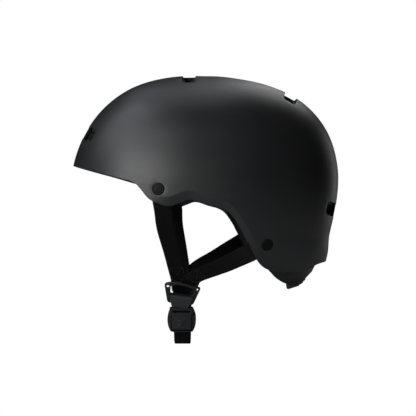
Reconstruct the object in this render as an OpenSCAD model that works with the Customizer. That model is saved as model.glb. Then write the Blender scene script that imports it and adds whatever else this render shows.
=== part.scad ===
// Water sports helmet: hard outer shell with an ear cut-out on each side, impact liner,
// comfort pads, neck cradle, and a webbing harness with strap dividers and a magnetic buckle.
// Forward is -X, the wearer's left is -Y, up is +Z. The origin is the centre of the head
// opening, level with the top of the ear cut-outs.

/* [Shell] */
// Centre of the shell's curve above the origin
crown_centre = 20; // [15:0.5:25]
// Reach of the shell from that centre to the brim
front_reach = 149.5; // [145:0.5:155]
// Reach of the shell from that centre to the flared rear edge
rear_reach = 154; // [150:0.5:158]
// Reach of the shell from that centre to either side
side_reach = 109; // [105:0.5:112]
// Reach of the shell from that centre to the crown
crown_reach = 124; // [120:0.5:127]
// Thickness of the shell wall
shell_t = 3; // [2.5:0.1:3.5]
// Depth of the bevelled band round the ear cut-outs
bevel_depth = 2.6; // [1.5:0.1:3]
// Angle up the side that the bevelled band covers
bevel_angle = 4.2; // [3:0.1:5]

/* [Rim] */
// Height of the brim at the front
brim_z = 46.5; // [43:0.5:49]
// Height of the brim where it meets the front tab
brim_end_z = 24; // [22:0.5:26]
// Lowest point of the front tab
tab_z = 1.6; // [0:0.1:3]
// Top of the ear cut-out
ear_z = 7.4; // [6:0.1:9]
// Bottom edge of the shell behind the ear
rear_low_z = -62; // [-65:0.5:-58]
// Bottom edge of the shell at the nape
rear_z = -56.5; // [-58:0.5:-54]

/* [Vents] */
// Height of a vent slot along the profile
vent_h = 14; // [10:0.5:16]
// Bend of a vent slot's corners
vent_r = 3.5; // [2:0.5:5]

/* [Liner and pads] */
// Gap between neighbouring layers
layer_gap = 0.6; // [0.3:0.05:0.8]
// Liner thickness at the sides
liner_t = 15; // [12:0.5:18]
// Extra liner thickness at the front and back
liner_extra = 8; // [4:0.5:12]
// Thickness of the comfort pads
pad_t = 8; // [6:0.5:10]
// Gap between the liner and a pad
pad_gap = 1.2; // [0.8:0.1:1.5]

/* [Harness] */
// Width of the webbing
web_w = 17.5; // [15:0.5:18]
// Thickness of the webbing
web_t = 1.8; // [1.4:0.1:2]
// Diameter of a strap cap
cap_d = 11; // [10:0.5:12]
// Radius of the lever pins
pin_r = 0.95; // [0.8:0.05:1]
// Width of the buckle tongue
tongue_w = 20.4; // [19:0.2:21]
// Clearance beside the buckle tongue
tongue_gap = 1; // [0.9:0.05:1.1]

/* [Hidden] */
$fn = 48;
columns = 84;
shell_rows = 15;
// Squareness of the plan: a rounded oval at the rim, a plain one at the crown
plan_power = 2;
plan_extra = 0.33;

// Profiles of the shell: angle up from the centre, reach at that angle
front_line = [
    [-20, front_reach], [10, front_reach - 2], [30, front_reach - 5], [50, front_reach - 11.2],
    [70, crown_reach + 5.4], [90, crown_reach]
];
rear_line = [
    [-50, rear_reach - 4], [-42, rear_reach], [-36, rear_reach - 1], [-28, rear_reach - 7],
    [-20, rear_reach - 14], [-8, rear_reach - 15], [10, rear_reach - 12], [25, rear_reach - 11],
    [40, rear_reach - 14.8], [55, rear_reach - 22.2], [72, crown_reach + 0.8], [90, crown_reach]
];
side_line = [
    [-50, side_reach - 1], [-40, side_reach + 6], [-30, side_reach + 6.5],
    [-20, side_reach + 3.5], [-10, side_reach + 1], [0, side_reach], [20, side_reach + 1],
    [40, side_reach + 8.5], [60, side_reach + 10.6], [90, crown_reach]
];

// Rim of the shell seen from the side: place along X, height
rim_line = [
    [-150, brim_z], [-117, brim_z - 8.5], [-98, brim_z - 14], [-82, brim_end_z + 4],
    [-69, brim_end_z], [-63.5, brim_end_z - 5], [-55, tab_z + 7.4], [-46, tab_z + 2.6],
    [-37, tab_z], [-29, tab_z + 2.4], [-20, ear_z], [-13, ear_z - 0.2], [0, ear_z - 4.7],
    [12, ear_z - 7.9], [20, ear_z - 12], [26, ear_z - 18.4], [36, ear_z - 34.4],
    [42, ear_z - 47.4], [47, rear_low_z + 12], [53, rear_low_z + 5.5], [60, rear_low_z + 2],
    [68, rear_low_z + 0.5], [95, rear_low_z], [103, rear_low_z + 2.4], [109, rear_low_z + 4.9],
    [117, rear_z + 0.5], [131, rear_z]
];

// Ear cut-out: where the bevelled band starts, is full, and ends, round the shell
bevel_span = [243, 253, 291, 300];

// Vent slots on the left side: angle round the shell, angle up, width
vents = [[199.1, 23.4, 46], [237, 72.7, 54], [337.8, 46.1, 61], [341.2, -9.1, 48]];

// Strap caps on the left side: angle round the shell, angle up
caps = [[246.8, -1.3], [300, -26.2]];

// Routes of the left straps, from the shell to the divider
front_route = [[-42, -98.2, 0], [-40.3, -81, -21], [-34, -56, -52], [-28.2, -32.9, -84.7]];
rear_route = [[41.9, -88, -41.4], [8, -63, -60], [-13, -46.15, -70.6], [-24.5, -36.75, -82.7]];
front_route_face = [[-0.1, -1, 0], [0, -0.85, -0.55], [0, -0.81, -0.59], [0, -0.81, -0.59]];
rear_route_face = [[-0.2, -1, 0], [0, -0.9, -0.45], [0, -0.81, -0.59], [0, -0.81, -0.59]];
// Gap left in each strap where it bends at the shell's edge
bend_gap = 1.2;
nape_gap = 0.9;

// Divider and buckle places on the left side
divider_at = [-26.1, -41.4, -79.4];
divider_tilt = 25;
divider_turn = 8;
buckle_at = [-28, -25.5, -119];
buckle_tilt = 10;

// ---------- curves ----------

// Slope of the curve at point j; a profile that ends at the crown ends level
function slope(k, j) =
    let (a = max(j - 1, 0), b = min(j + 1, len(k) - 1))
    k[j][0] == 90 ? 0 : (k[b][1] - k[a][1]) / (k[b][0] - k[a][0]);

// Smooth curve through the points of k
function along(k, x) =
    let (
        i = max([for (j = [0:len(k) - 2]) if (j == 0 || x >= k[j][0]) j]),
        h = k[i + 1][0] - k[i][0],
        t = min(max((x - k[i][0]) / h, -0.4), 1.4)
    )
    (2 * pow(t, 3) - 3 * t * t + 1) * k[i][1] + (pow(t, 3) - 2 * t * t + t) * h * slope(k, i)
    + (3 * t * t - 2 * pow(t, 3)) * k[i + 1][1] + (pow(t, 3) - t * t) * h * slope(k, i + 1);

function step(a, b, x) = let (t = min(max((x - a) / (b - a), 0), 1)) t * t * (3 - 2 * t);
function unit(v) = v / norm(v);

// Reach of the smooth shell at an angle round and an angle up
function reach(round, up) =
    let (
        ends = along(cos(round) < 0 ? front_line : rear_line, up),
        sides = along(side_line, up),
        power = plan_power + plan_extra * pow(cos(up), 2)
    )
    pow(pow(abs(cos(round)) / ends, power) + pow(abs(sin(round)) / sides, power), -1 / power);

function at(round, up, r) =
    [r * cos(up) * cos(round), r * cos(up) * sin(round), crown_centre + r * sin(up)];

// Angle up of the rim, found by halving
function rim_angle(round, low = -52, high = 40, turns = 16) =
    let (mid = (low + high) / 2, p = at(round, mid, reach(round, mid)))
    turns == 0 ? mid
    : p[2] < along(rim_line, p[0]) ? rim_angle(round, mid, high, turns - 1)
    : rim_angle(round, low, mid, turns - 1);

function fold(round) = round > 180 ? round : 360 - round;
function bevel(round, above_rim) =
    let (r = fold(round))
    bevel_depth * step(bevel_span[0], bevel_span[1], r)
    * (1 - step(bevel_span[2], bevel_span[3], r)) * max(0, 1 - above_rim / bevel_angle);

// Point on the skin of the shell, moved inwards by inset
function skin(round, up, rim, inset) =
    at(round, up, reach(round, up) - bevel(round, up - rim) - inset);

// ---------- solids from two faces ----------

function flat_list(rows) = [for (r = rows) for (p = r) p];

function grid_faces(rows, cols, base, wrap, flip) = [
    for (i = [0:rows - 2], j = [0:(wrap ? cols - 1 : cols - 2)])
        let (
            a = base + i * cols + j, b = base + i * cols + (j + 1) % cols,
            c = a + cols, d = b + cols
        )
        for (f = flip ? [[a, b, d], [a, d, c]] : [[a, d, b], [a, c, d]]) f
];

// A slab between an outer and an inner grid of points
module slab(outer, inner) {
    rows = len(outer);
    cols = len(outer[0]);
    n = rows * cols;
    rim = concat(
        [for (j = [0:cols - 1]) j],
        [for (i = [1:rows - 1]) i * cols + cols - 1],
        [for (j = [cols - 2:-1:0]) (rows - 1) * cols + j],
        [for (i = [rows - 2:-1:1]) i * cols]
    );
    sides = [
        for (k = [0:len(rim) - 1])
            let (a = rim[k], b = rim[(k + 1) % len(rim)])
            for (f = [[a, b, b + n], [a, b + n, a + n]]) f
    ];
    polyhedron(
        points = concat(flat_list(outer), flat_list(inner)),
        faces = concat(grid_faces(rows, cols, 0, false, false),
            grid_faces(rows, cols, n, false, true), sides)
    );
}

// A bowl between an outer and an inner grid that close at one crown point each
module bowl(outer, inner, outer_top, inner_top) {
    rows = len(outer);
    cols = len(outer[0]);
    n = rows * cols;
    last = (rows - 1) * cols;
    polyhedron(
        points = concat(flat_list(outer), flat_list(inner), [outer_top, inner_top]),
        faces = concat(
            grid_faces(rows, cols, 0, true, false),
            grid_faces(rows, cols, n, true, true),
            [for (j = [0:cols - 1]) [last + j, 2 * n, last + (j + 1) % cols]],
            [for (j = [0:cols - 1]) [n + last + j, n + last + (j + 1) % cols, 2 * n + 1]],
            [for (j = [0:cols - 1]) [j, (j + 1) % cols, n + (j + 1) % cols]],
            [for (j = [0:cols - 1]) [j, n + (j + 1) % cols, n + j]]
        )
    );
}

function row_share(i, rows) = i == 0 ? 0 : i == 1 ? 0.5 : i == 2 ? 1 : (i - 2) / (rows - 2);
// Angle up of row i: two rows in the bevelled band, the others spread to the crown
function row_angle(i, rows, rim) =
    i < 3 ? rim + bevel_angle * row_share(i, rows)
    : rim + bevel_angle + (90 - rim - bevel_angle) * row_share(i, rows);

// How far an inner layer's edge stands above the shell's rim: more at the nape, over the cradle
function edge_lift(round) = 1.6 + 6 * (1 - step(40, 62, min(round, 360 - round)));

// Grid of a layer; inner is 0 for the shell and 1 for a layer with a lifted edge
function layer(inner, t0, t1) = [
    for (i = [0:shell_rows - 1]) [
        for (j = [0:columns - 1])
            let (
                round = 360 * j / columns, rim = rim_angle(round),
                up0 = row_angle(i, shell_rows, rim),
                up = up0 + inner * edge_lift(round) * (90 - up0) / (90 - rim),
                inset = t0 + t1 * pow(cos(round), 2) * cos(up)
            )
            skin(round, up, rim, inset)
    ]
];

// Direction out of the shell
function skin_normal(round, up) =
    let (
        d = 0.5, p = at(round, up, reach(round, up)),
        a = at(round + d, up, reach(round + d, up)) - p,
        b = at(round, up + d, reach(round, up + d)) - p
    )
    unit(cross(a, b));

// Frame on the shell's skin: children see +Z pointing out of the shell
module on_skin(round, up) {
    n = skin_normal(round, up);
    translate(at(round, up, reach(round, up)))
        rotate([0, acos(n[2]), atan2(n[1], n[0])]) children();
}

// The same on both sides of the helmet
module both_sides() {
    children();
    mirror([0, 1, 0]) children();
}

// Slots through a layer, each running across the helmet
module vent_cutters(shrink, depth) {
    both_sides() for (v = vents) {
        n = skin_normal(v[0], v[1]);
        on_skin(v[0], v[1]) rotate(atan2(-n[2] * n[1], n[0])) translate([0, 0, -depth])
            linear_extrude(depth + 14) offset(r = vent_r, $fn = 20)
                square([vent_h - shrink - 2 * vent_r, v[2] - 2 * shrink - 2 * vent_r], center = true);
    }
}

// ---------- shell, liner and pads ----------

module outer_shell() {
    color("dimgray") resize([0, 0, 0]) difference() {
        bowl(
            layer(0, 0, 0),
            layer(0, shell_t, 0),
            at(0, 90, crown_reach), at(0, 90, crown_reach - shell_t)
        );
        vent_cutters(0, 16);
        both_sides() for (c = caps) on_skin(c[0], c[1]) {
            translate([0, 0, -1.3]) cylinder(d = cap_d + 0.6, h = 6, $fn = 32);
            translate([0, 0, -10]) cylinder(d = 5, h = 14, $fn = 24);
        }
    }
}

function liner_in() = shell_t + layer_gap;

module impact_liner() {
    color([0.13, 0.13, 0.14]) resize([0, 0, 0]) difference() {
        bowl(
            layer(1, liner_in(), nape_gap),
            layer(1, liner_in() + liner_t, liner_extra),
            at(0, 90, crown_reach - liner_in()), at(0, 90, crown_reach - liner_in() - liner_t)
        );
        vent_cutters(4, 60);
        // Pockets for the strap ends and their fasteners
        both_sides() {
            hull() strap_line(caps[0], front_route[0], -6, 13, web_w + 4, 11);
            hull() strap_line(caps[1], rear_route[0], -6, 13, web_w + 4, 11);
        }
    }
}

// A pad on the inner face of the liner: spans of angle round and angle up from the rim
module pad(round0, round1, low, high, cols, rows) {
    function grid(depth) = [
        for (i = [0:rows]) [
            for (j = [0:cols])
                let (
                    round = round0 + (round1 - round0) * j / cols, rim = rim_angle(round),
                    up = low + (high - low) * i / rows,
                    hug = liner_in() + liner_t + liner_extra * pow(cos(round), 2) * cos(up)
                )
                skin(round, up, rim, hug + depth)
        ]
    ];
    color([0.08, 0.08, 0.09]) slab(grid(pad_gap), grid(pad_gap + pad_t));
}

module brow_pad() { pad(146, 214, 14, 20.5, 12, 2); }
module side_pad_left() { pad(250, 292, 14, 38, 8, 4); }
module side_pad_right() { mirror([0, 1, 0]) side_pad_left(); }
module rear_pad() { pad(-34, 34, -4, 16, 12, 4); }
module crown_pad() { pad(-62, 62, 56, 82, 12, 4); }

// ---------- neck cradle and pad ----------

// Ring section behind the neck: angle from the nape, height, distance from the ring's middle
neck_mid_x = 42;
function neck_point(a, z, grow) =
    [neck_mid_x + (80 + grow) * lean(z) * cos(a), (68 + grow) * lean(z) * sin(a), z];
function lean(z) = 1 - 0.11 * step(-50, -76, z);

// Band behind the nape; its lower edge follows heights given at angles from the middle
module neck_band(reach_angle, top, low, outer, inner, rows, cols, tint) {
    function grid(g) = [
        for (i = [0:rows]) [
            for (j = [0:cols])
                let (
                    a = reach_angle * (2 * j / cols - 1), z0 = along(low, abs(a)),
                    z = z0 + (top - z0) * i / rows
                )
                neck_point(a, z, g)
        ]
    ];
    color(tint) slab(grid(outer), grid(inner));
}

cradle_low = [[-20, -70], [0, -68], [20, -70], [40, -77], [55, -78], [67, -71.5], [76, -62]];
pad_low = [[-15, -75], [0, -73], [15, -75], [27, -79.3], [45, -83.8], [54, -84.6]];

module neck_cradle() { neck_band(76, -42, cradle_low, 0, -2.4, 6, 24, [0.16, 0.16, 0.17]); }
module neck_pad() { neck_band(54, -44, pad_low, -2.8, -11, 6, 20, [0.06, 0.06, 0.07]); }

// ---------- strap fasteners ----------

module strap_caps() {
    color([0.03, 0.03, 0.03]) both_sides() for (c = caps) on_skin(c[0], c[1]) {
        translate([0, 0, -1.2]) cylinder(d = cap_d, h = 1.3);
        translate([0, 0, 0.1]) cylinder(d1 = cap_d, d2 = cap_d - 2, h = 0.5);
    }
}

module strap_screws() {
    color("silver") both_sides() for (c = caps) on_skin(c[0], c[1])
        translate([0, 0, -9.3]) cylinder(d = 4, h = 8);
}

module strap_washers() {
    color("silver") both_sides() for (c = caps) on_skin(c[0], c[1])
        translate([0, 0, -8.6]) difference() {
            cylinder(d = 9, h = 1);
            translate([0, 0, -1]) cylinder(d = 4.4, h = 3);
        }
}

// ---------- webbing ----------

// Flat webbing along a route, facing the given directions
module webbing(route, faces, w, t) {
    n = len(route);
    function way(i) = unit(route[min(i + 1, n - 1)] - route[max(i - 1, 0)]);
    function side(i) = unit(cross(faces[i], way(i)));
    function out(i) = unit(cross(way(i), side(i)));
    function edge(s) = [for (i = [0:n - 1]) [for (u = [-1, 1])
        route[i] + side(i) * u * w / 2 + out(i) * s * t / 2]];
    color([0.07, 0.07, 0.08]) slab(edge(1), edge(-1));
}

// A route shortened at its first end
function trimmed(route, d) =
    concat([route[0] + unit(route[1] - route[0]) * d], [for (i = [1:len(route) - 1]) route[i]]);

module front_strap_left() { webbing(trimmed(front_route, bend_gap), front_route_face, web_w, web_t); }
module rear_strap_left() { webbing(trimmed(rear_route, bend_gap), rear_route_face, web_w, web_t); }
module front_strap_right() { mirror([0, 1, 0]) front_strap_left(); }
module rear_strap_right() { mirror([0, 1, 0]) rear_strap_left(); }

// Flat line held inside the shell, from the bend at its edge to a tail past the screw
module strap_line(cap, edge, start, tail, w, t) {
    n = skin_normal(cap[0], cap[1]);
    skin_p = at(cap[0], cap[1], reach(cap[0], cap[1])) - n * (shell_t + 1.3 + web_t / 2);
    away = unit(skin_p - edge);
    level = unit(away - n * (away * n));
    webbing([edge + away * start, skin_p, skin_p + level * tail - n * 0.5], [n, n, n], w, t);
}

// Strap ends held inside the shell, from past the screw to the bend at the shell's edge
module strap_end(cap, edge) {
    difference() {
        strap_line(cap, edge, bend_gap, 8, web_w, web_t);
        on_skin(cap[0], cap[1]) translate([0, 0, -16]) cylinder(d = 4.6, h = 16, $fn = 24);
    }
}

module front_strap_end_left() { color("black") strap_end(caps[0], front_route[0]); }
module rear_strap_end_left() { color("black") strap_end(caps[1], rear_route[0]); }
module front_strap_end_right() { mirror([0, 1, 0]) front_strap_end_left(); }
module rear_strap_end_right() { mirror([0, 1, 0]) rear_strap_end_left(); }

// ---------- strap dividers ----------

// Rounded outline: every corner is cut by r and bent smoothly
function soften(pts, r, n = 5) = [
    for (i = [0:len(pts) - 1])
        let (
            p = pts[i],
            a = unit(pts[(i + len(pts) - 1) % len(pts)] - p),
            b = unit(pts[(i + 1) % len(pts)] - p)
        )
        for (k = [0:n]) let (s = k / n)
            pow(1 - s, 2) * (p + a * r) + 2 * s * (1 - s) * p + s * s * (p + b * r)
];

// Divider frame: +X forward to rear, +Y up along the plate, +Z outwards from the wearer
module at_divider() {
    translate(divider_at) rotate([90 + divider_tilt, 0, 0]) rotate(-divider_turn) children();
}

plate_t = 2.6;
lever_y = -13.5;
lever_z = 3.1;
lever_half = 11;
eye_w = 1.6;

// Height of the divider's arched top edge
function arch(x) = x < -4 ? 3.9 * (1 - pow((x + 4) / 15, 2)) : 3.9 * pow(1 - (x + 4) / 22, 1.2);

module divider_left() {
    color([0.2, 0.2, 0.21]) at_divider() difference() {
        union() {
            linear_extrude(plate_t) difference() {
                union() {
                    polygon(soften([[-19, 0], [19, 0], [13.4, -22.5], [-13.4, -22.5]], 4));
                    polygon(concat(
                        [for (x = [-18:2:18]) [x, arch(x)]], [[14, -5], [-14, -5]]
                    ));
                }
                polygon(soften(
                    [[-12.4, -1.8], [-6, 0.6], [2, 0.2], [12.4, -2.8], [11.6, -10.8], [-11.6, -10.8]], 2
                ));
                for (s = [-1, 1]) translate([s * 15, -2.9]) circle(d = 3.2);
            }
            for (s = [-1, 1]) translate([s * (lever_half + 0.3 + eye_w / 2), lever_y, 0]) {
                translate([0, 0, lever_z]) rotate([0, 90, 0])
                    cylinder(d = 4.2, h = eye_w, center = true);
                translate([-eye_w / 2, -2.1, plate_t - 0.4])
                    cube([eye_w, 4.2, lever_z - plate_t + 0.4]);
            }
        }
        // Groove that lets the lever's barrel turn
        translate([-lever_half - 0.3, lever_y, lever_z]) rotate([0, 90, 0])
            cylinder(d = 5, h = 2 * lever_half + 0.6);
        // Bore of the pin through both eyes
        translate([-14, lever_y, lever_z]) rotate([0, 90, 0])
            cylinder(r = pin_r + 0.1, h = 28);
    }
}

module lever_pin_left() {
    color("silver") at_divider() translate([0, lever_y, lever_z]) rotate([0, 90, 0])
        cylinder(r = pin_r, h = 2 * (lever_half + 0.3 + eye_w), center = true);
}

module cam_lever_left() {
    color([0.3, 0.3, 0.31]) at_divider() difference() {
        union() {
            translate([-lever_half, lever_y, lever_z]) rotate([0, 90, 0])
                cylinder(d = 4, h = 2 * lever_half);
            translate([0, lever_y, lever_z]) linear_extrude(2)
                polygon(soften([[-lever_half, 1], [lever_half, 1], [9.2, -12.5], [-9.2, -12.5]], 2));
        }
        translate([-20, lever_y, lever_z]) rotate([0, 90, 0]) cylinder(r = pin_r + 0.1, h = 40);
    }
}

module divider_right() { mirror([0, 1, 0]) divider_left(); }
module lever_pin_right() { mirror([0, 1, 0]) lever_pin_left(); }
module cam_lever_right() { mirror([0, 1, 0]) cam_lever_left(); }

// ---------- buckle ----------

// Buckle frame: +Y up along the buckle, +Z outwards from the wearer
module at_buckle() { translate(buckle_at) rotate([90 + buckle_tilt, 0, 0]) children(); }

recess_z = -0.2;
wall_z = 1.3;
tongue_z = 0.2;

module buckle_base() {
    side = [for (a = [-55:10:55]) [15.2 - 9 * (1 - cos(a)), 13.2 * sin(a) / sin(55)]];
    outline = concat(side, [for (k = [len(side) - 1:-1:0]) [-side[k][0], side[k][1]]]);
    hw = tongue_w / 2 + tongue_gap;
    color([0.17, 0.17, 0.18]) at_buckle() difference() {
        translate([0, 0, -5.6]) linear_extrude(5.6 + wall_z) polygon(outline);
        // Shallow seat that the tongue lies in, open at its top and its outer face
        translate([-hw, -11.4, recess_z]) cube([2 * hw, 60, 20]);
        translate([-30, 6, recess_z]) cube([60, 60, 20]);
        // Magnet pocket, open to the wearer's side
        translate([0, -2, -6]) cylinder(d = 12.2, h = 4.4);
        // Slot that the chin strap is sewn round
        translate([-9.2, -12, -8]) cube([18.4, 2.4, 20]);
    }
}

module base_magnet() {
    color("silver") at_buckle() translate([0, -2, -5.5]) cylinder(d = 12, h = 3.7);
}

module buckle_tongue() {
    hw = tongue_w / 2;
    color([0.24, 0.24, 0.25]) at_buckle() difference() {
        translate([0, 0, tongue_z]) linear_extrude(3.4) union() {
            polygon(soften([[-hw, 8], [hw, 8], [hw, -9.5], [-hw, -9.5]], 1.6));
            polygon(soften([[-12.6, 14.6], [12.6, 14.6], [11.6, 6], [-11.6, 6]], 2));
        }
        translate([-9.4, 9, -5]) cube([18.8, 2.6, 20]);
        translate([0, -1.5, tongue_z - 1]) cylinder(d = 10.2, h = 3.2);
    }
}

module tongue_magnet() {
    color("silver") at_buckle() translate([0, -1.5, tongue_z + 0.1]) cylinder(d = 10, h = 2);
}

// Webbing from the divider's lever down to the tongue
buckle_route = [[-27.5, -31.3, -96], [-27.8, -28.9, -103.6]];
module buckle_strap() {
    webbing(buckle_route, [[0, -0.93, -0.36], [0, -0.93, -0.36]], web_w, web_t);
}

// Chin strap: from under the base, round the chin, up to the right divider
chin_low = -130.8;
chin_turn = 18.5;
chin_bend = [186:14.5:360];
chin_route = concat(
    [for (a = chin_bend) [-28, chin_turn * cos(a), chin_low + chin_turn * sin(a)]],
    [[-27.8, 22.5, -114], [-27.5, 28, -98]]
);
chin_face = concat(
    [for (a = chin_bend) [0, cos(a), sin(a)]],
    [[0, 0.93, -0.36], [0, 0.93, -0.36]]
);
module chin_strap() { webbing(chin_route, chin_face, web_w, web_t); }

outer_shell();
impact_liner();
brow_pad();
crown_pad();
side_pad_left();
side_pad_right();
rear_pad();
neck_cradle();
neck_pad();
strap_caps();
strap_screws();
strap_washers();
front_strap_end_left();
front_strap_end_right();
rear_strap_end_left();
rear_strap_end_right();
front_strap_left();
front_strap_right();
rear_strap_left();
rear_strap_right();
divider_left();
divider_right();
lever_pin_left();
lever_pin_right();
cam_lever_left();
cam_lever_right();
buckle_strap();
buckle_tongue();
tongue_magnet();
buckle_base();
base_magnet();
chin_strap();
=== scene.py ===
"""Looks of the water helmet: shell, liner, pads, webbing harness, dividers and buckle.

Forward is -X, the wearer's left is -Y and up is +Z. Lengths are written in millimetres and
turned into metres where a mesh is made.
"""
import math

import bmesh
import bpy
import numpy as np
from mathutils import Matrix, Vector


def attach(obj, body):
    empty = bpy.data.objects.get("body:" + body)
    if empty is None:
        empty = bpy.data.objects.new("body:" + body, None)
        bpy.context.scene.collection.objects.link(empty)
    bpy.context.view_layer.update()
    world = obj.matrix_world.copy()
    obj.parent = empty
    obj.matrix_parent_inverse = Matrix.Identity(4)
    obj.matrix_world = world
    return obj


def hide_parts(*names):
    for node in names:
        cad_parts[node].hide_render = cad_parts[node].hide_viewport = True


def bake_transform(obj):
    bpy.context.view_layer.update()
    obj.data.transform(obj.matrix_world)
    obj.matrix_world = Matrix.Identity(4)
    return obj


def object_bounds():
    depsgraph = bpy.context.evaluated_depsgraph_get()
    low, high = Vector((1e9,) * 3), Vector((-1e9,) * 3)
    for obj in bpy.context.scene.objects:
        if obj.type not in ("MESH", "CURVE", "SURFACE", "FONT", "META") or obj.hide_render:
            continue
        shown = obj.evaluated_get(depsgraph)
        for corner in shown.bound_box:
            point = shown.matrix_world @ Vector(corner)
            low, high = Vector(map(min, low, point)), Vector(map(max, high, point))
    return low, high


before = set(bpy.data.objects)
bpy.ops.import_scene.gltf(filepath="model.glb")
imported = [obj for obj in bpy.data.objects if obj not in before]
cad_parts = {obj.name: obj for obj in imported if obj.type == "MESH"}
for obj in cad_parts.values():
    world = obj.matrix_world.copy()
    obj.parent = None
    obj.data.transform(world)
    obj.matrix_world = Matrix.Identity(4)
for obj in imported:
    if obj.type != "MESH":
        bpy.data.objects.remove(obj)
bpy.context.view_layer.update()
MM = 0.001


# ---------- camera ----------

CAMERA_AWAY = 600          # from the helmet's middle plane to the camera
SENSOR_WIDTH = 36
LENS = 46.7308


def make_camera():
    data = bpy.data.cameras.new("camera")
    camera = bpy.data.objects.new("camera", data)
    bpy.context.scene.collection.objects.link(camera)
    camera.location = (0, -CAMERA_AWAY * MM, 0)
    camera.rotation_euler = (math.radians(90), 0, 0)
    data.sensor_width = SENSOR_WIDTH
    data.lens = LENS
    data.clip_start = 0.01
    bpy.context.scene.camera = camera


make_camera()


# ---------- shape of the shell, the same rules as the CAD ----------

CROWN_CENTRE = 20
FRONT, REAR, SIDE, CROWN = 149.5, 154, 109, 124
SHELL_T = 3
BEVEL_DEPTH = 2.6
BEVEL_ANGLE = 4.2
BEVEL_SPAN = (243, 253, 291, 300)
BRIM_Z, BRIM_END_Z, TAB_Z, EAR_Z, REAR_LOW_Z, REAR_Z = 46.5, 24, 1.6, 7.4, -62, -56.5
LAYER_GAP = 0.6
NAPE_GAP = 0.9
PAD_GAP = 1.2
LINER_T, LINER_EXTRA = 15, 8
PAD_T = 8

FRONT_LINE = [(-20, FRONT), (10, FRONT - 2), (30, FRONT - 5), (50, FRONT - 11.2),
              (70, CROWN + 5.4), (90, CROWN)]
REAR_LINE = [(-50, REAR - 4), (-42, REAR), (-36, REAR - 1), (-28, REAR - 7), (-20, REAR - 14),
             (-8, REAR - 15), (10, REAR - 12), (25, REAR - 11), (40, REAR - 14.8),
             (55, REAR - 22.2), (72, CROWN + 0.8), (90, CROWN)]
SIDE_LINE = [(-50, SIDE - 1), (-40, SIDE + 6), (-30, SIDE + 6.5), (-20, SIDE + 3.5),
             (-10, SIDE + 1), (0, SIDE), (20, SIDE + 1), (40, SIDE + 8.5), (60, SIDE + 10.6),
             (90, CROWN)]
RIM_LINE = [(-150, BRIM_Z), (-117, BRIM_Z - 8.5), (-98, BRIM_Z - 14), (-82, BRIM_END_Z + 4),
            (-69, BRIM_END_Z), (-63.5, BRIM_END_Z - 5), (-55, TAB_Z + 7.4), (-46, TAB_Z + 2.6),
            (-37, TAB_Z), (-29, TAB_Z + 2.4), (-20, EAR_Z), (-13, EAR_Z - 0.2),
            (0, EAR_Z - 4.7), (12, EAR_Z - 7.9), (20, EAR_Z - 12), (26, EAR_Z - 18.4),
            (36, EAR_Z - 34.4), (42, EAR_Z - 47.4), (47, REAR_LOW_Z + 12),
            (53, REAR_LOW_Z + 5.5), (60, REAR_LOW_Z + 2), (68, REAR_LOW_Z + 0.5),
            (95, REAR_LOW_Z), (103, REAR_LOW_Z + 2.4), (109, REAR_LOW_Z + 4.9),
            (117, REAR_Z + 0.5), (131, REAR_Z)]


def hermite(t, a, slope_a, b, slope_b):
    """Cubic from a to b with the given slopes, at a share t of the way."""
    return ((2 * t**3 - 3 * t**2 + 1) * a + (t**3 - 2 * t**2 + t) * slope_a
            + (3 * t**2 - 2 * t**3) * b + (t**3 - t**2) * slope_b)


def along(points, x):
    """Smooth curve through the points; a profile that ends at the crown ends level."""
    k = np.array(points, float)
    slope = np.gradient(k[:, 1], k[:, 0])
    slope[1:-1] = (k[2:, 1] - k[:-2, 1]) / (k[2:, 0] - k[:-2, 0])
    if k[-1, 0] == 90:
        slope[-1] = 0
    x = np.asarray(x, float)
    i = np.clip(np.searchsorted(k[:, 0], x, side="right") - 1, 0, len(k) - 2)
    h = k[i + 1, 0] - k[i, 0]
    t = np.clip((x - k[i, 0]) / h, -0.4, 1.4)
    return hermite(t, k[i, 1], h * slope[i], k[i + 1, 1], h * slope[i + 1])


def unit(v):
    return v / np.linalg.norm(v, axis=-1, keepdims=True)


def step(a, b, x):
    t = np.clip((np.asarray(x, float) - a) / (b - a), 0, 1)
    return t * t * (3 - 2 * t)


def reach(turn, up):
    """Distance from the crown centre to the smooth shell at an angle round and an angle up."""
    c, s = np.cos(np.radians(turn)), np.sin(np.radians(turn))
    ends = np.where(c < 0, along(FRONT_LINE, up), along(REAR_LINE, up))
    power = 2 + 0.33 * np.cos(np.radians(up)) ** 2
    return ((np.abs(c) / ends) ** power
            + (np.abs(s) / along(SIDE_LINE, up)) ** power) ** (-1 / power)


def at(turn, up, r):
    turn, up = np.radians(turn), np.radians(up)
    return np.stack([r * np.cos(up) * np.cos(turn), r * np.cos(up) * np.sin(turn),
                     CROWN_CENTRE + r * np.sin(up)], -1)


def rim_angle(turn):
    """Angle up of the shell's rim, found by halving."""
    turn = np.asarray(turn, float)
    low, high = np.full(turn.shape, -52.0), np.full(turn.shape, 40.0)
    for _ in range(22):
        mid = (low + high) / 2
        p = at(turn, mid, reach(turn, mid))
        under = p[..., 2] < along(RIM_LINE, p[..., 0])
        low, high = np.where(under, mid, low), np.where(under, high, mid)
    return (low + high) / 2


def skin(turn, up, rim, inset):
    """Point of the shell's skin moved inwards, with the bevelled band round the ear cut-out."""
    folded = np.where(turn > 180, turn, 360 - turn)
    band = (step(*BEVEL_SPAN[:2], folded) * (1 - step(*BEVEL_SPAN[2:], folded))
            * np.clip(1 - (up - rim) / BEVEL_ANGLE, 0, 1))
    return at(turn, up, reach(turn, up) - BEVEL_DEPTH * band - inset)


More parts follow.
